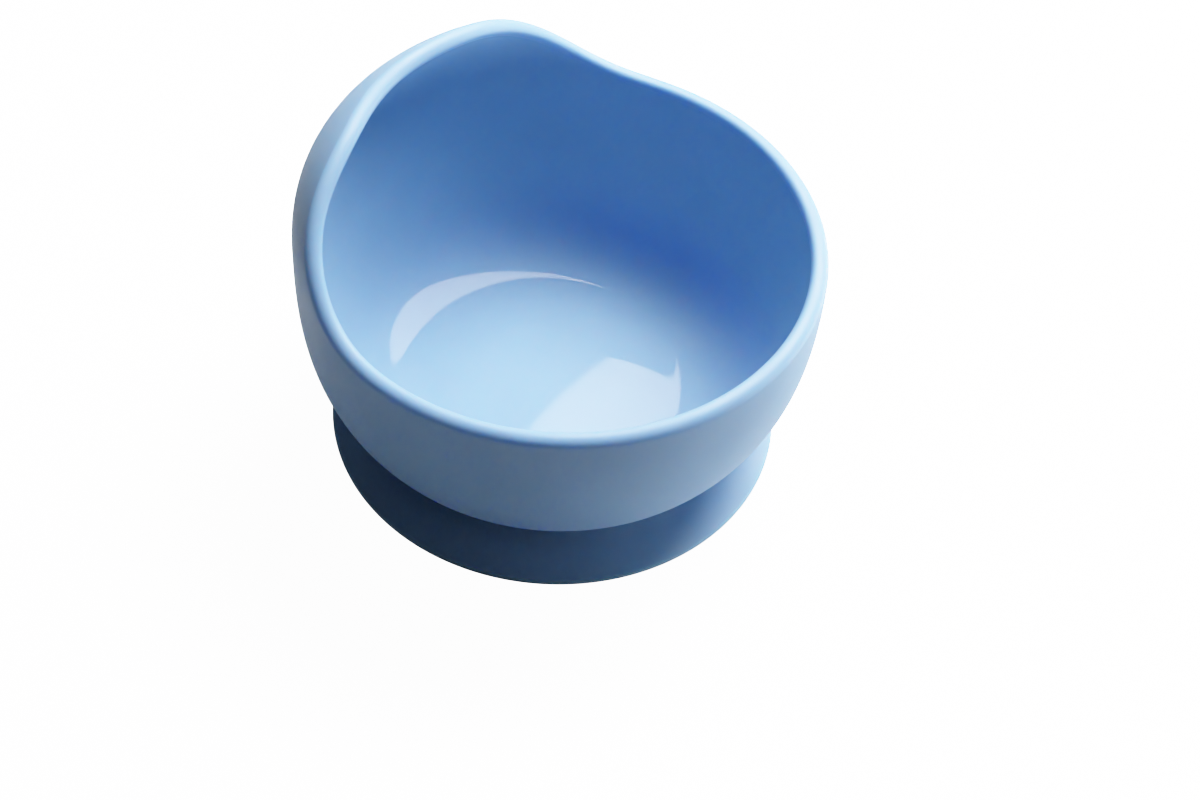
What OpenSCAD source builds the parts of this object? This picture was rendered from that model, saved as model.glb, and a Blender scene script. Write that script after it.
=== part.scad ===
// Baby's suction bowl in soft silicone: a round bowl whose rim rises into a tall
// scoop wall at the back, on a flared suction base.
// +Z is up, the scoop is at +Y, and the origin is on the bowl's axis at table level.

/* [Bowl] */
// Width of the bowl at its widest
bowl_w = 120; // [110:1:130]
// Height above the table at which the bowl is widest
wide_z = 59; // [57:1:64]
// How square the belly is below the widest height
belly_squareness = 2.85; // [2.5:0.05:3.2]
// Thickness of the wall and the rounded rim
wall_t = 4; // [3.5:0.25:4.5]
// Thickness of the wall at its foot, where it turns into the floor
foot_t = 2.4; // [2.2:0.1:2.8]
// Height of the floor's top above the table
floor_z = 9; // [8.8:0.1:10]
// Thickness of the floor
floor_t = 3.6; // [3.2:0.1:3.8]

/* [Scoop rim] */
// Height of the low rim's centre, where its round edge begins
low_rim_z = 56.6; // [52:0.2:60]
// How much higher the scoop stands than the low rim
scoop_rise = 26.4; // [16:0.2:27]
// Half the angle that the scoop takes round the bowl, in degrees
scoop_half_angle = 55; // [40:1:65]
// How sudden the step from low rim to scoop is
scoop_step = 4.5; // [3:0.1:5]
// Height over which the wall would close in above the widest height
shoulder_h = 35; // [34:1:45]
// How square that inward lean is
shoulder_squareness = 2.4; // [2.2:0.05:2.8]

/* [Suction base] */
// Diameter of the base at its thin outer edge
base_d = 106; // [102:1:110]
// Diameter of the neck between the base and the bowl
neck_d = 54; // [46:1:56]
// Height of the air space under the middle of the base
cavity_h = 3.2; // [2.8:0.1:3.4]
// Width of the flat ring that seals on the table
lip_w = 9; // [7:0.5:10]
// Thickness of the base's outer edge
edge_t = 1.2; // [1:0.1:1.6]
// Thickness of the flexing skirt
skirt_t = 1.6; // [1.3:0.1:1.7]

/* [Release tab] */
// How far the tab reaches past the base's edge
tab_l = 12; // [8:1:14]
// Width of the tab
tab_w = 18; // [12:1:22]
// Thickness of the tab
tab_t = 1.8; // [1.4:0.1:2.2]
// Number of grip ribs across the tab
rib_count = 3; // [2:1:4]

/* [Hidden] */
$fn = 96;

silicone_blue = [0.45, 0.62, 0.77];

bowl_r = bowl_w / 2;
// The rim's bead rises by rim_h, and its crown lies rim_fall inside the wall's outside.
rim_h = wall_t / 2;
rim_fall = wall_t * 0.6;
rim_squareness = 2.4;
// Height at which the belly's outline would close, if the foot didn't cut it short
belly_close_z = 0.4;
belly_h = wide_z - belly_close_z;

// The belly's outline runs down to foot_angle, and an arc rounds it into the flat underside.
underside_z = floor_z - floor_t;
foot_angle = 46;
// Inside, the wall thins down to foot_t at corner_angle, and turns into the floor from there.
corner_angle = 42;
// The turn inside starts gently from the floor and tightens: 1 would make it an arc.
corner_easing = 1.3;
foot_steps = 6;
// The belly's fixed rings end at body_angle, and the stretch above follows the rim's height.
body_angle = 16;
body_steps = 6;
body_z = belly_point(body_angle)[1];
wall_steps = 10;
rim_steps = 8;
around = 72;

base_r = base_d / 2;
lip_inner_r = base_r - lip_w;
// Height of the skirt's underside where it meets the lip
skirt_low_z = 0.4;
// Clearance between the lip and the skirt, which move apart as the base is pressed down
skirt_gap = 0.2;
skirt_steps = 10;
neck_r = neck_d / 2;

// The tab folds about a line just outside the base, in front of a lug on the lip.
fold_y = base_r + 2;
fold_z = tab_t / 2;
fold_gap = 0.2;
tab_tip_y = base_r + tab_l;
tab_corner_r = min(5, tab_w / 2 - 1);
rib_r = 0.5;
rib_pitch = 2.2;
rib_inset = 2.8;

// ---- Bowl ----

// A point [radius, height] of the belly, from 0 degrees at the widest height downwards
function belly_point(a) = [
    bowl_r * pow(cos(a), 2 / belly_squareness),
    wide_z - belly_h * pow(sin(a), 2 / belly_squareness)
];

// Angle below the horizontal of the belly's outward normal at that point
function belly_normal(a) = atan2(
    pow(sin(a), 2 - 2 / belly_squareness) / belly_h,
    pow(cos(a), 2 - 2 / belly_squareness) / bowl_r
);

// Radius of the outer wall at a height, closing in both below and above the widest height
function closing(x, squareness) = pow(1 - pow(max(x, 0), squareness), 1 / squareness);
function wall_radius(z) = z < wide_z
    ? bowl_r * closing((wide_z - z) / belly_h, belly_squareness)
    : bowl_r * closing((z - wide_z) / shoulder_h, shoulder_squareness);

// Upward angle of the outer wall's normal at a height, taken over a short step up and down
dz = 0.01;
function wall_normal(z) = atan2(wall_radius(z - dz) - wall_radius(z + dz), 2 * dz);

// Height of the rim's centre in the direction a, where the scoop is at 90 degrees
function from_scoop(a) = abs(((a - 90 + 540) % 360) - 180);
function rim_z(a) =
    low_rim_z + scoop_rise * exp(-pow(from_scoop(a) / scoop_half_angle, scoop_step));

// A point moved inwards by t, square to a surface whose outward normal is n degrees above level
function inwards(p, n, t) = [p[0] - t * cos(n), p[1] - t * sin(n)];

function sum(list, count) = count == 0 ? 0 : list[count - 1] + sum(list, count - 1);

// Half outline of a flat disc at height z, whose edge turns up by slope to the point end.
// The turn is an arc where easing is 1. Where it is more, the turn starts gently and tightens.
// One point partway along the flat stretch keeps the disc's triangles from being slivers.
function turned_up(z, end, slope, easing) =
    let (
        slopes = [for (i = [0 : foot_steps - 1]) slope * pow((i + 0.5) / foot_steps, easing)],
        runs = [for (a = slopes) cos(a)],
        rises = [for (a = slopes) sin(a)],
        step = (end[1] - z) / sum(rises, foot_steps),
        start_r = end[0] - step * sum(runs, foot_steps)
    )
    concat(
        [[0, z], [start_r * 0.6, z]],
        [for (i = [0 : foot_steps - 1]) [start_r + step * sum(runs, i), z + step * sum(rises, i)]]
    );

// Half outline of the belly from the angle a0 up to body_angle, set in by t0 there and t1 here
function belly_outline(a0, t0, t1) = [
    for (i = [0 : body_steps])
        let (
            k = i / body_steps,
            a = a0 + (body_angle - a0) * k,
            t = t0 + (t1 - t0) * (1 - cos(180 * k)) / 2
        )
        inwards(belly_point(a), -belly_normal(a), t)
];

// The half outline below body_z, from the middle of the disc at z
function lower_outline(z, a0, t0, t1, easing) =
    let (belly = belly_outline(a0, t0, t1))
    concat(turned_up(z, belly[0], 90 - belly_normal(a0), easing), belly);

outer_lower = lower_outline(underside_z, foot_angle, 0, 0, 1);
inner_lower = lower_outline(floor_z, corner_angle, foot_t, wall_t, corner_easing);

// The half outline from body_z to the rim in the direction a, at depth t inside it
function upper_outline(a, t) = [
    for (i = [1 : wall_steps])
        let (z = body_z + (rim_z(a) - body_z) * i / wall_steps)
        inwards([wall_radius(z), z], wall_normal(z), t)
];

// How much taller the rim's round edge is cut by an upright plane where the rim climbs
function rim_stretch(a) =
    let (
        da = 0.5,
        way_round = wall_radius(rim_z(a)) * 2 * da * PI / 180,
        climb = (rim_z(a + da) - rim_z(a - da)) / way_round
    )
    sqrt(1 + climb * climb);

// The bead over the top of the wall in the direction a, from outside to inside: a round fall
// outside, and a squarer one inside, on either side of the crown
function rim_outline(a) =
    let (
        z = rim_z(a),
        n = wall_normal(z),
        crown = inwards([wall_radius(z), z], n, rim_fall),
        h = rim_h * rim_stretch(a)
    )
    [for (i = [1 : rim_steps - 1])
        let (
            b = 180 * i / rim_steps,
            across = b < 90
                ? rim_fall * cos(b)
                : -(wall_t - rim_fall) * pow(-cos(b), 2 / rim_squareness),
            up = h * (b < 90 ? sin(b) : pow(sin(b), 2 / rim_squareness))
        )
        [crown[0] + across * cos(n) - up * sin(n), crown[1] + across * sin(n) + up * cos(n)]];

function backwards(list) = [for (i = [len(list) - 1 : -1 : 0]) list[i]];

// The whole half outline, from the underside's middle round the rim to the floor's middle
function bowl_outline(a) = concat(
    outer_lower, upper_outline(a, 0), rim_outline(a),
    backwards(upper_outline(a, wall_t)), backwards(inner_lower)
);

module bowl() {
    outlines = [for (i = [0 : around - 1]) bowl_outline(360 * i / around)];
    last = len(outlines[0]) - 1;
    // Each ring of points is one outline point taken all the way round
    points = concat(
        [for (k = [1 : last - 1], i = [0 : around - 1])
            let (a = 360 * i / around, p = outlines[i][k])
            [p[0] * cos(a), p[0] * sin(a), p[1]]],
        [[0, 0, underside_z], [0, 0, floor_z]]
    );
    underside_middle = len(points) - 2;
    floor_middle = len(points) - 1;
    top_ring = (last - 2) * around;
    faces = concat(
        [for (k = [0 : last - 3], i = [0 : around - 1], half = [0, 1])
            let (p = k * around + i, q = k * around + (i + 1) % around)
            half == 0 ? [p, p + around, q] : [q, p + around, q + around]],
        [for (i = [0 : around - 1]) [underside_middle, i, (i + 1) % around]],
        [for (i = [0 : around - 1])
            [floor_middle, top_ring + (i + 1) % around, top_ring + i]]
    );
    color(silicone_blue) polyhedron(points, faces);
}

// ---- Suction base ----

// Height of the skirt's underside, which sweeps in an S from the lip up to the neck
function skirt_z(r) =
    let (s = (lip_inner_r - r) / (lip_inner_r - neck_r))
    skirt_low_z + (cavity_h - skirt_low_z) * (1 - cos(180 * s)) / 2;

module neck() {
    color(silicone_blue) translate([0, 0, cavity_h])
        cylinder(r = neck_r, h = underside_z - cavity_h);
}

module suction_skirt() {
    skirt_r = lip_inner_r - skirt_gap;
    radii = [for (i = [0 : skirt_steps]) skirt_r + (neck_r - skirt_r) * i / skirt_steps];
    color(silicone_blue) rotate_extrude() polygon(concat(
        [for (r = radii) [r, skirt_z(r)]],
        backwards([for (r = radii) [r, skirt_z(r) + skirt_t]])
    ));
}

module sealing_lip() {
    edge_r = edge_t / 2;
    lug_y = fold_y - fold_z - fold_gap;
    color(silicone_blue) {
        // Flat underneath, thinning to a rounded edge
        rotate_extrude() {
            polygon([
                [lip_inner_r, 0],
                [base_r - edge_r, 0],
                [base_r - edge_r, edge_t],
                [lip_inner_r, skirt_low_z + skirt_t]
            ]);
            translate([base_r - edge_r, edge_r]) circle(edge_r);
        }
        // Lug that the release tab hangs on
        translate([-tab_w / 2, base_r - lip_w / 2, 0])
            cube([tab_w, lug_y - base_r + lip_w / 2, edge_t]);
    }
}

module release_tab() {
    rib_l = tab_w - 2 * tab_corner_r;
    color(silicone_blue) {
        // Round root, so that the tab clears the lug at every angle
        translate([-tab_w / 2, fold_y, fold_z])
            rotate([0, 90, 0]) cylinder(r = fold_z, h = tab_w);
        linear_extrude(tab_t) {
            translate([-tab_w / 2, fold_y])
                square([tab_w, tab_tip_y - tab_corner_r - fold_y]);
            for (side = [-1, 1])
                translate([side * (tab_w / 2 - tab_corner_r), tab_tip_y - tab_corner_r])
                    circle(tab_corner_r);
            translate([-rib_l / 2, tab_tip_y - 2 * tab_corner_r])
                square([rib_l, 2 * tab_corner_r]);
        }
        // Grip ribs
        for (i = [0 : rib_count - 1])
            translate([-rib_l / 2, tab_tip_y - rib_inset - i * rib_pitch, tab_t])
                rotate([0, 90, 0]) cylinder(r = rib_r, h = rib_l);
    }
}

bowl();
neck();
suction_skirt();
sealing_lip();
release_tab();
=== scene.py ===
"""Looks of a baby's suction bowl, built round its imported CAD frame.

The bowl is one moulding in soft translucent silicone, satin outside and polished inside, so the
pieces here meet without seams. All lengths are in metres, +Z is up and the scoop wall is at +Y.
"""

import math

import bpy
import numpy as np
from mathutils import Matrix, Vector


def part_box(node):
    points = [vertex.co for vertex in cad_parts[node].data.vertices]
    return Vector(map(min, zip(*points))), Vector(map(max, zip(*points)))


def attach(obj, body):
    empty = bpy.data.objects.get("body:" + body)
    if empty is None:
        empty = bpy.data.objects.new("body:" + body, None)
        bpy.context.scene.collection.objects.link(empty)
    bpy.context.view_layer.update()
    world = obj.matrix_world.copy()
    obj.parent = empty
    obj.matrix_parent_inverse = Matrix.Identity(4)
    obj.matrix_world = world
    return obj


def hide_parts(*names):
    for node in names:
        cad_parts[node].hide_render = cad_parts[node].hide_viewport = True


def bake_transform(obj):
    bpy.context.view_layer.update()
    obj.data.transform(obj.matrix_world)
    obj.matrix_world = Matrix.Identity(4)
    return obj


MM = 0.001

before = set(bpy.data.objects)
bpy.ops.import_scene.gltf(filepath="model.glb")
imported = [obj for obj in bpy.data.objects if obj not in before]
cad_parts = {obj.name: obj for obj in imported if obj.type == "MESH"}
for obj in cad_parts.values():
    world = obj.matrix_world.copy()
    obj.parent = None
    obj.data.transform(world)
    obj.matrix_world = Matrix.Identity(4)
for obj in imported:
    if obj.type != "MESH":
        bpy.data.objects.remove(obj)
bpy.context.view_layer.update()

# ---- Sizes from the frame ----
bowl_low, bowl_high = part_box("bowl")
neck_low, neck_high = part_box("neck")
skirt_low, skirt_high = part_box("suction_skirt")
lip_low, lip_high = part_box("sealing_lip")
tab_low, tab_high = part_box("release_tab")

BOWL_R = bowl_high.x
UNDERSIDE_Z = bowl_low.z
NECK_R = neck_high.x
CAVITY_Z = neck_low.z
SKIRT_LOW_Z = skirt_low.z
SKIRT_T = skirt_high.z - CAVITY_Z
BASE_R = lip_high.x
TAB_HALF_W = tab_high.x
TAB_TIP_Y = tab_high.y

# ---- Sizes that the frame's boxes don't give, as in the CAD ----
WALL_T = 4 * MM
FOOT_T = 2.4 * MM
FLOOR_Z = 9 * MM
WIDE_Z = 59 * MM
BELLY_CLOSE_Z = 0.4 * MM
BELLY_H = WIDE_Z - BELLY_CLOSE_Z
BELLY_SQUARENESS = 2.85
SHOULDER_H = 35 * MM
SHOULDER_SQUARENESS = 2.4
LOW_RIM_Z = 56.6 * MM
SCOOP_RISE = 26.4 * MM
SCOOP_HALF_ANGLE = math.radians(55)
SCOOP_STEP = 4.5
FOOT_ANGLE = math.radians(46)
CORNER_ANGLE = math.radians(42)
CORNER_EASING = 1.3
BODY_ANGLE = math.radians(16)
BEAD_FALL = WALL_T * 0.6
BEAD_SQUARENESS = 2.4
LIP_INNER_R = BASE_R - 9 * MM
EDGE_T = 1.2 * MM
TAB_T = 1.8 * MM
FOLD_Y = BASE_R + 2 * MM
BEND_END_Y = FOLD_Y + 2 * MM
TAB_ROOT_Y = BASE_R - 2.5 * MM
TAB_ROOT_T = EDGE_T * 0.9
TAB_FLARE = 2.6 * MM
TAB_FLARE_END_Y = FOLD_Y + 1.5 * MM
TAB_CORNER_R = 5 * MM
RIB_COUNT = 3
RIB_H = tab_high.z - TAB_T
RIB_PITCH = 2.2 * MM
RIB_INSET = 2.8 * MM

# ---- Looks of the silicone ----
SILICONE = (0.218, 0.376, 0.585)
SILICONE_IOR = 1.42
SCATTER_DISTANCE = 4 * MM
# Share of that distance that red, green and blue light travels
SCATTER_REACH = (0.3, 0.75, 1)
SHARP_ROUGHNESS = 0.04
# Patches, waves and grains per metre
MOTTLE_SCALE = 45
GLOSS_SCALE = 70
WAVE_SCALE = 40
GRAIN_SCALE = 7000
MOTTLE_SPREAD = 0.03
GLOSS_SPREAD = 0.12
WAVE_DEPTH = 0.06 * MM

# ---- Light, as scene values before the film's response ----
KEY_RADIANCE = 38
CARD_RADIANCE = 16
LAMP_TINT = (1, 0.975, 1.01)
WORLD_LEVEL = 0.12
FLOOR_BOUNCE = (0.44, 0.45, 0.45)
FLOOR_GLOW = 4
FLOOR_ROUGHNESS = 0.9
FLOOR_SHINE = 0.2
BACKDROP_LEVEL = 5
FILM_RANGE = 6
FILM_CONTRAST = 1.15

# ---- Camera, with angles in degrees ----
CAMERA_AZIMUTH = -148.73
CAMERA_ELEVATION = 49.266
CAMERA_ROLL = 4.36
CAMERA_DISTANCE = 0.58071
CAMERA_TARGET = Vector((-13.7, -20.6, 30)) * MM
LENS_MM = 72
SENSOR_MM = 36

# ---- Mesh fineness ----
AROUND = 288
TURN_STEPS = 24
BELLY_STEPS = 18
WALL_STEPS = 24
BEAD_STEPS = 24
NECK_STEPS = 6
SKIRT_STEPS = 24
EDGE_STEPS = 10
LIP_STEPS = 10
TAB_ROWS = 150
TAB_COLUMNS = 60
TAB_SIDE_STEPS = 8
TAB_TIP_STEPS = 14


# ---- Outline of the bowl, as [radius, height] points ----
def belly_point(a):
    """The belly's outline, from a = 0 at the widest height downwards."""
    r = BOWL_R * math.cos(a) ** (2 / BELLY_SQUARENESS)
    z = WIDE_Z - BELLY_H * math.sin(a) ** (2 / BELLY_SQUARENESS)
    return np.array([r, z])


def belly_dip(a):
    """Angle below the horizontal of the belly's outward normal."""
    p = 2 - 2 / BELLY_SQUARENESS
    return math.atan2(math.sin(a) ** p / BELLY_H, math.cos(a) ** p / BOWL_R)


def closing(x, squareness):
    """Share of the full radius that is left where the share x of the height is used up."""
    return (1 - max(x, 0) ** squareness) ** (1 / squareness)


def wall_radius(z):
    """The outside's radius at a height, widest at WIDE_Z."""
    if z < WIDE_Z:
        return BOWL_R * closing((WIDE_Z - z) / BELLY_H, BELLY_SQUARENESS)
    return BOWL_R * closing((z - WIDE_Z) / SHOULDER_H, SHOULDER_SQUARENESS)


def wall_lean(z):
    """Angle above the horizontal of the wall's outward normal."""
    dz = 0.01 * MM
    return math.atan2(wall_radius(z - dz) - wall_radius(z + dz), 2 * dz)


def rim_z(a):
    """Height of the rim's centre in the direction a, where the scoop is at a quarter turn."""
    from_scoop = abs((a - math.pi / 2 + math.pi) % (2 * math.pi) - math.pi)
    return LOW_RIM_Z + SCOOP_RISE * math.exp(-((from_scoop / SCOOP_HALF_ANGLE) ** SCOOP_STEP))


def rim_stretch(a):
    """How much taller the rim's bead is cut by an upright plane where the rim climbs."""
    da = math.radians(0.5)
    climb = (rim_z(a + da) - rim_z(a - da)) / (2 * da * wall_radius(rim_z(a)))
    return math.hypot(1, climb)


def inwards(point, lean, depth):
    """The point at a depth under a surface whose outward normal leans up by an angle."""
    return point - depth * np.array([math.cos(lean), math.sin(lean)])


def smooth(k):
    """Eases a share k of the way, so that it starts and ends level."""
    return (1 - math.cos(math.pi * k)) / 2


def turned_up(z, end, slope, easing):
    """A flat disc at height z, whose edge turns up by slope to the point end.

    The turn is an arc where easing is 1. Where it is more, the turn starts gently and tightens.
    """
    slopes = [slope * ((i + 0.5) / TURN_STEPS) ** easing for i in range(TURN_STEPS)]
    step = (end[1] - z) / sum(math.sin(a) for a in slopes)
    start_r = end[0] - step * sum(math.cos(a) for a in slopes)
    points = [np.array([start_r * share, z]) for share in (0, 0.3, 0.6, 0.85, 1)]
    for a in slopes[:-1]:
        points.append(points[-1] + step * np.array([math.cos(a), math.sin(a)]))
    return points


def belly_outline(start, depth_low, depth_high):
    """The belly from the angle start up to BODY_ANGLE, set in by a depth that changes."""
    points = []
    for i in range(BELLY_STEPS + 1):
        k = i / BELLY_STEPS
        a = start + (BODY_ANGLE - start) * k
        depth = depth_low + (depth_high - depth_low) * smooth(k)
        points.append(inwards(belly_point(a), -belly_dip(a), depth))
    return points


def lower_outline(z, start, depth_low, depth_high, easing):
    """The half outline below the straight part of the wall, from the middle of the disc at z."""
    belly = belly_outline(start, depth_low, depth_high)
    return turned_up(z, belly[0], math.pi / 2 - belly_dip(start), easing) + belly


def upper_outline(a, depth):
    """The wall above the belly in the direction a, up to where the rim's bead begins."""
    body_z = belly_point(BODY_ANGLE)[1]
    points = []
    for i in range(1, WALL_STEPS + 1):
        z = body_z + (rim_z(a) - body_z) * i / WALL_STEPS
        points.append(inwards(np.array([wall_radius(z), z]), wall_lean(z), depth))
    return points


def bead_outline(a):
    """The rim's bead in the direction a: a broad fall outside, a flat crown, a tight inner edge."""
    z = rim_z(a)
    lean = wall_lean(z)
    out = np.array([math.cos(lean), math.sin(lean)])
    up = WALL_T / 2 * rim_stretch(a) * np.array([-math.sin(lean), math.cos(lean)])
    crown = inwards(np.array([wall_radius(z), z]), lean, BEAD_FALL)
    points = []
    for i in range(1, BEAD_STEPS):
        b = math.pi * i / BEAD_STEPS
        if b < math.pi / 2:
            points.append(crown + out * BEAD_FALL * math.cos(b) + up * math.sin(b))
        else:
            inner = abs(math.cos(b)) ** (2 / BEAD_SQUARENESS)
            rise = math.sin(b) ** (2 / BEAD_SQUARENESS)
            points.append(crown - out * (WALL_T - BEAD_FALL) * inner + up * rise)
    return points


# ---- Mesh helpers ----
def new_piece(name, points, faces, materials, face_materials=None):
    """A smooth-shaded mesh object made of points and faces."""
    mesh = bpy.data.meshes.new(name)
    mesh.from_pydata([tuple(p) for p in points], [], faces)
    for m in materials:
        mesh.materials.append(m)
    if face_materials is not None:
        mesh.polygons.foreach_set("material_index", face_materials)
    mesh.shade_smooth()
    mesh.validate()
    piece = bpy.data.objects.new(name, mesh)
    bpy.context.scene.collection.objects.link(piece)
    return piece


def revolved(outlines, closed):
    """Points and faces of a solid whose half outline may change round the axis.

    An open outline starts and ends on the axis. A closed one is a ring's section.
    """
    steps = len(outlines)
    count = len(outlines[0])
    first, last = (0, count) if closed else (1, count - 1)
    points = []
    for k in range(first, last):
        for i, outline in enumerate(outlines):
            a = 2 * math.pi * i / steps
            r, z = outline[k]
            points.append((r * math.cos(a), r * math.sin(a), z))
    rings = last - first
    faces = []
    for k in range(rings if closed else rings - 1):
        for i in range(steps):
            p, q = k * steps + i, k * steps + (i + 1) % steps
            up = steps if k < rings - 1 else -k * steps
            faces.append((p, q, q + up, p + up))
    if not closed:
        for end, ring in ((0, 0), (count - 1, (rings - 1) * steps)):
            pole = len(points)
            points.append((0, 0, outlines[0][end][1]))
            for i in range(steps):
                p, q = ring + i, ring + (i + 1) % steps
                faces.append((pole, q, p) if end == 0 else (pole, p, q))
    return points, faces


# ---- Materials ----
def nodes_of(material):
    material.use_nodes = True
    tree = material.node_tree
    return tree, tree.nodes["Principled BSDF"]


def noise(tree, scale, detail):
    coords = tree.nodes.new("ShaderNodeTexCoord")
    texture = tree.nodes.new("ShaderNodeTexNoise")
    texture.inputs["Scale"].default_value = scale
    texture.inputs["Detail"].default_value = detail
    tree.links.new(coords.outputs["Object"], texture.inputs["Vector"])
    return texture.outputs["Fac"]


def ranged(tree, factor, low, high, factor_low=0.3, factor_high=0.7):
    """Maps a factor from its own range, which is a noise's by default, to low..high."""
    node = tree.nodes.new("ShaderNodeMapRange")
    node.inputs["From Min"].default_value = factor_low
    node.inputs["From Max"].default_value = factor_high
    node.inputs["To Min"].default_value = low
    node.inputs["To Max"].default_value = high
    tree.links.new(factor, node.inputs["Value"])
    return node.outputs["Result"]


def bumped(tree, height, distance, normal=None):
    node = tree.nodes.new("ShaderNodeBump")
    node.inputs["Strength"].default_value = 1
    node.inputs["Distance"].default_value = distance
    tree.links.new(height, node.inputs["Height"])
    if normal is not None:
        tree.links.new(normal, node.inputs["Normal"])
    return node.outputs["Normal"]


def silicone(name, roughness, shine, grain_depth, polish):
    """Soft translucent silicone: faint mottling, uneven gloss and a fine moulded grain.

    Shine is the level of the broad reflection, and polish is the weight of a sharp one over it.
    """
    material = bpy.data.materials.new(name)
    tree, shader = nodes_of(material)
    mottling = tree.nodes.new("ShaderNodeMix")
    mottling.data_type = "RGBA"
    mottling.inputs["A"].default_value = (*[c * (1 - MOTTLE_SPREAD) for c in SILICONE], 1)
    mottling.inputs["B"].default_value = (*[c * (1 + MOTTLE_SPREAD) for c in SILICONE], 1)
    patches = noise(tree, MOTTLE_SCALE, detail=4)
    tree.links.new(ranged(tree, patches, 0, 1), mottling.inputs["Factor"])
    tree.links.new(mottling.outputs["Result"], shader.inputs["Base Color"])
    dullest = roughness * (1 + GLOSS_SPREAD)
    glossiest = roughness * (1 - GLOSS_SPREAD)
    gloss = ranged(tree, noise(tree, GLOSS_SCALE, detail=5), glossiest, dullest)
    tree.links.new(gloss, shader.inputs["Roughness"])
    waves = bumped(tree, noise(tree, WAVE_SCALE, detail=1), WAVE_DEPTH)
    grain = bumped(tree, noise(tree, GRAIN_SCALE, detail=2), grain_depth, waves)
    tree.links.new(grain, shader.inputs["Normal"])
    shader.inputs["IOR"].default_value = SILICONE_IOR
    shader.inputs["Specular IOR Level"].default_value = shine
    shader.inputs["Subsurface Weight"].default_value = 1
    shader.inputs["Subsurface Radius"].default_value = SCATTER_REACH
    shader.inputs["Subsurface Scale"].default_value = SCATTER_DISTANCE
    shader.inputs["Coat Weight"].default_value = polish
    shader.inputs["Coat IOR"].default_value = SILICONE_IOR
    shader.inputs["Coat Roughness"].default_value = SHARP_ROUGHNESS
    return material


satin = silicone(
    "silicone_satin",
    roughness=0.5,
    shine=0.5,
    grain_depth=0.006 * MM,
    polish=0,
)
polished = silicone(
    "silicone_polished",
    roughness=0.6,
    shine=0.15,
    grain_depth=0.002 * MM,
    polish=0.3,
)


# ---- Pieces ----
def make_bowl():
    """Bowl with its scoop wall: up the outside, over the rim's bead and down the inside."""
    outside = lower_outline(UNDERSIDE_Z, FOOT_ANGLE, 0, 0, easing=1)
    inside = lower_outline(FLOOR_Z, CORNER_ANGLE, FOOT_T, WALL_T, CORNER_EASING)
    outlines = []
    for i in range(AROUND):
        a = 2 * math.pi * i / AROUND
        up = upper_outline(a, 0) + bead_outline(a)
        down = upper_outline(a, WALL_T)[::-1] + inside[::-1]
        outlines.append(outside + up + down)
    points, faces = revolved(outlines, closed=False)
    # Bands of faces run from the underside's middle to the floor's, and the two middles come last.
    satin_bands = len(outside) + WALL_STEPS + BEAD_STEPS - 2
    bands = len(outlines[0]) - 3
    face_materials = [int(k >= satin_bands) for k in range(bands) for _ in range(AROUND)]
    face_materials += [0] * AROUND + [1] * AROUND
    bowl = new_piece("bowl_shell", points, faces, [satin, polished], face_materials)
    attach(bowl, "bowl")
    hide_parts("bowl")


def make_neck():
    """Short solid neck, flared where it meets the bowl, with a faintly domed underside."""
    dome = 0.6 * MM
    flare = 0.8 * MM
    top = neck_high.z
    under = [(NECK_R * k, CAVITY_Z + dome * (1 - smooth(k))) for k in (0, 0.2, 0.4, 0.6, 0.8, 1)]
    side_z = top - flare
    turns = [math.pi / 2 * i / NECK_STEPS for i in range(NECK_STEPS + 1)]
    side = [(NECK_R + flare * (1 - math.cos(t)), side_z + flare * math.sin(t)) for t in turns]
    outline = under + side + [(0, top)]
    points, faces = revolved([outline] * AROUND, closed=False)
    neck = new_piece("neck_core", points, faces, [polished])
    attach(neck, "bowl")
    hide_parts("neck")


def skirt_z(r):
    """Height of the skirt's underside, which sweeps in an S from the lip up to the neck."""
    k = (LIP_INNER_R - r) / (LIP_INNER_R - NECK_R)
    return SKIRT_LOW_Z + (CAVITY_Z - SKIRT_LOW_Z) * smooth(k)


def blend_by_radius(piece):
    """Lays every point on +X at its own radius, bakes the piece's transform while the points lie
    there, and then puts the points back where they were.
    """
    mesh = piece.data
    rest = np.array([v.co for v in mesh.vertices])
    flat = np.zeros_like(rest)
    flat[:, 0] = np.hypot(rest[:, 0], rest[:, 1])
    mesh.vertices.foreach_set("co", flat.ravel())
    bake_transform(piece)
    mesh.vertices.foreach_set("co", rest.ravel())
    mesh.update()


def make_suction_disc():
    """Sealing lip and skirt in one sheet, as moulded, thinning to a round edge."""
    edge_r = EDGE_T / 2
    edge_centre_r = BASE_R - edge_r
    step_r = 0.2 * MM
    radii = np.linspace(NECK_R, LIP_INNER_R, SKIRT_STEPS)
    under_skirt = [(r, skirt_z(r)) for r in radii]
    under_lip = [(LIP_INNER_R + step_r, 0), (edge_centre_r - 4 * edge_r, 0)]
    turns = [math.pi * (i / EDGE_STEPS - 0.5) for i in range(EDGE_STEPS + 1)]
    edge = [(edge_centre_r + edge_r * math.cos(t), edge_r + edge_r * math.sin(t)) for t in turns]
    lip_rise = SKIRT_LOW_Z + SKIRT_T - EDGE_T
    shares = [i / LIP_STEPS for i in range(1, LIP_STEPS + 1)]
    over_lip = [
        (edge_centre_r + (LIP_INNER_R - edge_centre_r) * k, EDGE_T + lip_rise * (1 - (1 - k) ** 2))
        for k in shares
    ]
    over_skirt = [(r, skirt_z(r) + SKIRT_T) for r in radii[-2::-1]]
    outline = under_skirt + under_lip + edge + over_lip + over_skirt
    points, faces = revolved([outline] * AROUND, closed=True)
    below = len(under_skirt) + len(under_lip)
    face_materials = [int(k < below) for k in range(len(outline)) for _ in range(AROUND)]
    disc = new_piece("suction_disc", points, faces, [satin, polished], face_materials)
    blend_by_radius(disc)
    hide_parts("sealing_lip", "suction_skirt")


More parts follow.
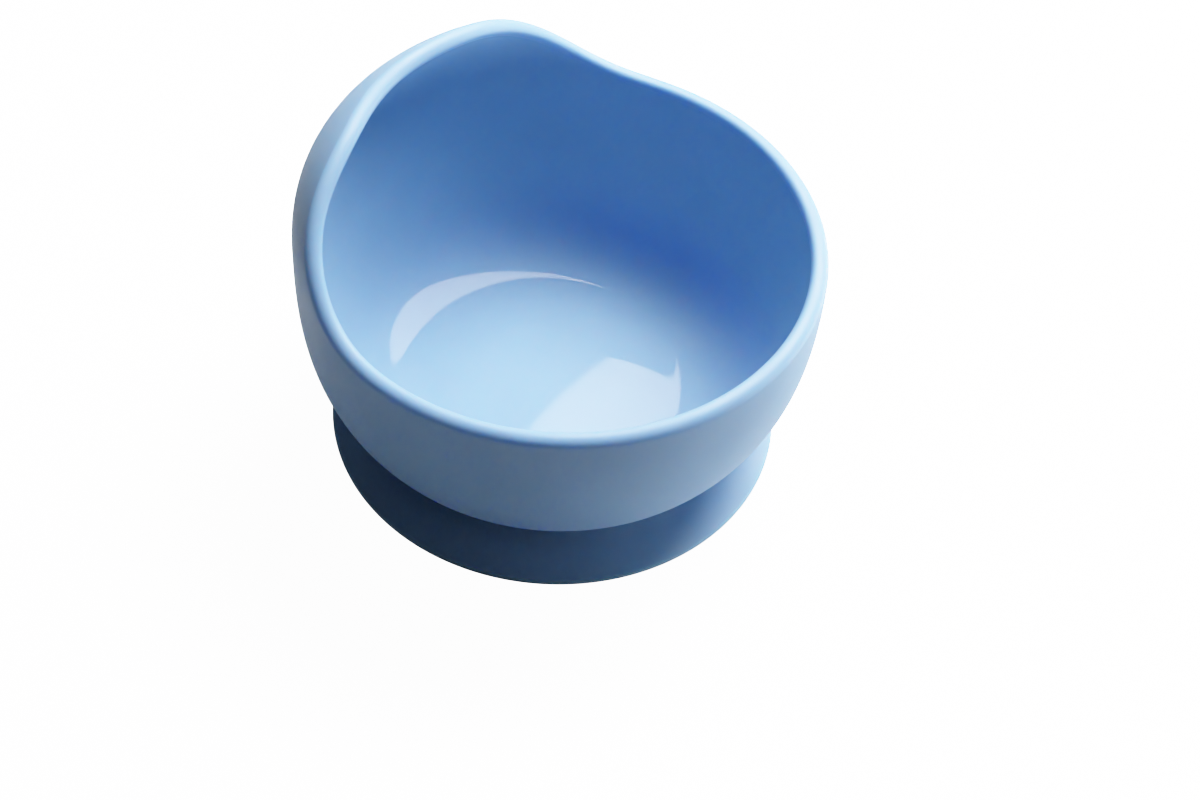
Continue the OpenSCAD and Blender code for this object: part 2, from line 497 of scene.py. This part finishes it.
def tab_half_width(y):
    """The tab's plan: flared root, straight sides and round corners."""
    corner_y = TAB_TIP_Y - TAB_CORNER_R
    if y < TAB_FLARE_END_Y:
        k = min((TAB_FLARE_END_Y - y) / (TAB_FLARE_END_Y - BASE_R), 1)
        return TAB_HALF_W + TAB_FLARE * (1 - math.sqrt(max(1 - k * k, 0)))
    if y > corner_y:
        rounding = math.sqrt(max(TAB_CORNER_R ** 2 - (y - corner_y) ** 2, 0))
        return TAB_HALF_W - TAB_CORNER_R + rounding
    return TAB_HALF_W


def tab_thickness(y):
    """The tab grows from the lip's edge to its full thickness, and its tip is round."""
    k = min(max((y - BASE_R) / (BEND_END_Y - BASE_R), 0), 1)
    body = TAB_ROOT_T + (TAB_T - TAB_ROOT_T) * smooth(k)
    nose = TAB_T / 2
    past = max(y - (TAB_TIP_Y - nose), 0)
    return body * math.sqrt(max(1 - (past / nose) ** 2, 0))


def rib_height(x, y):
    """Grip ribs across the tab, half round and tapered at their ends."""
    half_l = TAB_HALF_W - TAB_CORNER_R
    height = 0
    for i in range(RIB_COUNT):
        off = (y - (TAB_TIP_Y - RIB_INSET - i * RIB_PITCH)) / RIB_H
        end = max(abs(x) - (half_l - RIB_H), 0) / RIB_H
        height = max(height, 1 - off * off - end * end)
    return RIB_H * math.sqrt(height)


def tab_section(y):
    """The tab's section at y: a flat bar with round sides, from the middle of its underside."""
    half_w = tab_half_width(y)
    t = tab_thickness(y)
    r = t / 2
    middle = TAB_T / 2 if y > BEND_END_Y else max(t, EDGE_T) / 2
    across = [(half_w - r) * (2 * i / TAB_COLUMNS - 1) for i in range(TAB_COLUMNS + 1)]
    side = [math.pi * (i / TAB_SIDE_STEPS - 0.5) for i in range(1, TAB_SIDE_STEPS)]
    under = [(x, middle - r) for x in across]
    right = [(half_w - r + r * math.cos(s), middle + r * math.sin(s)) for s in side]
    over = [(x, middle + r + rib_height(x, y)) for x in across[::-1]]
    left = [(-(half_w - r) - r * math.cos(s), middle - r * math.sin(s)) for s in side]
    return [(x, y, z) for x, z in under + right + over + left]


def make_release_tab():
    """Ribbed tab, from inside the lip's edge to its round tip."""
    straight = np.linspace(TAB_ROOT_Y, TAB_TIP_Y - TAB_T, TAB_ROWS)
    # The steps stop just short of the tip, so that the end face isn't a bare line.
    turns = [math.pi / 2 * i / (TAB_TIP_STEPS + 0.5) for i in range(1, TAB_TIP_STEPS + 1)]
    tip = [TAB_TIP_Y - TAB_T * (1 - math.sin(t)) for t in turns]
    sections = [tab_section(y) for y in [*straight, *tip]]
    size = len(sections[0])
    points = [p for section in sections for p in section]
    faces = [tuple(range(size))[::-1]]
    for j in range(len(sections) - 1):
        for i in range(size):
            p, q = j * size + i, j * size + (i + 1) % size
            faces.append((p, q, q + size, p + size))
    faces.append(tuple(range(len(points) - size, len(points))))
    tab = new_piece("release_tab_grip", points, faces, [satin])
    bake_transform(tab)
    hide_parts("release_tab")


# ---- Stage ----
def make_floor():
    """Large pale floor, lit from within so that it looks white but lights the bowl little."""
    half = 3
    corners = [(-half, -half, 0), (half, -half, 0), (half, half, 0), (-half, half, 0)]
    material = bpy.data.materials.new("pale_floor")
    tree, shader = nodes_of(material)
    shader.inputs["Base Color"].default_value = (*FLOOR_BOUNCE, 1)
    shader.inputs["Roughness"].default_value = FLOOR_ROUGHNESS
    shader.inputs["Specular IOR Level"].default_value = FLOOR_SHINE
    glow = tree.nodes.new("ShaderNodeEmission")
    both = tree.nodes.new("ShaderNodeAddShader")
    seen = tree.nodes.new("ShaderNodeLightPath")
    strength = tree.nodes.new("ShaderNodeMath")
    strength.operation = "MULTIPLY"
    strength.inputs[1].default_value = FLOOR_GLOW
    tree.links.new(seen.outputs["Is Camera Ray"], strength.inputs[0])
    tree.links.new(strength.outputs["Value"], glow.inputs["Strength"])
    tree.links.new(shader.outputs["BSDF"], both.inputs[0])
    tree.links.new(glow.outputs["Emission"], both.inputs[1])
    tree.links.new(both.outputs["Shader"], tree.nodes["Material Output"].inputs["Surface"])
    floor = new_piece("floor", corners, [(0, 1, 2, 3)], [material])


def direction(azimuth, elevation):
    """Unit vector at an azimuth anticlockwise from +X and an elevation, both in degrees."""
    a, e = math.radians(azimuth), math.radians(elevation)
    return Vector((math.cos(e) * math.cos(a), math.cos(e) * math.sin(a), math.sin(e)))


def add_lamp(name, shape, azimuth, elevation, roll, distance, width, height, radiance):
    """Glowing panel that faces the bowl's floor and doesn't show in the picture.

    Its angles are in degrees, and its distance is from the middle of that floor.
    """
    light = bpy.data.lights.new(name, "AREA")
    light.shape = shape
    light.size = width
    light.size_y = height
    filled = math.pi / 4 if shape == "ELLIPSE" else 1
    light.energy = radiance * math.pi * width * height * filled
    light.color = LAMP_TINT
    lamp = bpy.data.objects.new(name, light)
    towards = direction(azimuth, elevation)
    lamp.location = Vector((0, 0, FLOOR_Z)) + towards * distance
    turn = towards.to_track_quat("Z", "Y").to_matrix()
    lamp.rotation_euler = (turn @ Matrix.Rotation(math.radians(roll), 3, "Z")).to_euler()
    lamp.visible_camera = False
    bpy.context.scene.collection.objects.link(lamp)


def set_film_response():
    """Soft shoulder like a camera's, so that brightly lit silicone pales instead of clipping."""
    view = bpy.context.scene.view_settings
    view.view_transform = "Standard"
    view.use_curve_mapping = True
    mapping = view.curve_mapping
    mapping.white_level = (FILM_RANGE, FILM_RANGE, FILM_RANGE)
    curve = mapping.curves[3]
    shares = [0, 0.01, 0.03, 0.06, 0.1, 0.15, 0.22, 0.3, 0.4, 0.55, 0.75, 1]
    levels = [(x, (1 - math.exp(-x * FILM_RANGE)) ** FILM_CONTRAST) for x in shares]
    curve.points[0].location = levels[0]
    curve.points[1].location = levels[-1]
    for level in levels[1:-1]:
        curve.points.new(*level)
    mapping.update()


def make_world():
    """Even studio light, which looks white behind the floor's far edge."""
    world = bpy.data.worlds.new("studio")
    world.use_nodes = True
    background = world.node_tree.nodes["Background"]
    background.inputs["Color"].default_value = (1, 1, 1, 1)
    tree = world.node_tree
    seen = tree.nodes.new("ShaderNodeLightPath")
    strength = ranged(tree, seen.outputs["Is Camera Ray"], WORLD_LEVEL, BACKDROP_LEVEL, 0, 1)
    tree.links.new(strength, background.inputs["Strength"])
    bpy.context.scene.world = world


def make_camera():
    """Camera at the viewing angle of a product photograph, from the front left of the scoop."""
    data = bpy.data.cameras.new("camera")
    data.lens = LENS_MM
    data.sensor_width = SENSOR_MM
    camera = bpy.data.objects.new("camera", data)
    location = direction(CAMERA_AZIMUTH, CAMERA_ELEVATION) * CAMERA_DISTANCE
    forward = (CAMERA_TARGET - location).normalized()
    right = forward.cross(Vector((0, 0, 1))).normalized()
    upright = Matrix((right, right.cross(forward), -forward)).transposed()
    roll = Matrix.Rotation(math.radians(CAMERA_ROLL), 3, "Z")
    camera.matrix_world = Matrix.Translation(location) @ (upright @ roll).to_4x4()
    bpy.context.scene.collection.objects.link(camera)
    bpy.context.scene.camera = camera


make_bowl()
make_neck()
make_suction_disc()
make_release_tab()
make_floor()
add_lamp(
    "key_softbox",
    "ELLIPSE",
    azimuth=-3.8,
    elevation=56.5,
    roll=14.8,
    distance=0.6,
    width=0.5,
    height=0.384,
    radiance=KEY_RADIANCE,
)
add_lamp(
    "side_card",
    "RECTANGLE",
    azimuth=-50,
    elevation=5,
    roll=0,
    distance=0.22,
    width=0.3,
    height=0.05,
    radiance=CARD_RADIANCE,
)
make_world()
make_camera()
set_film_response()
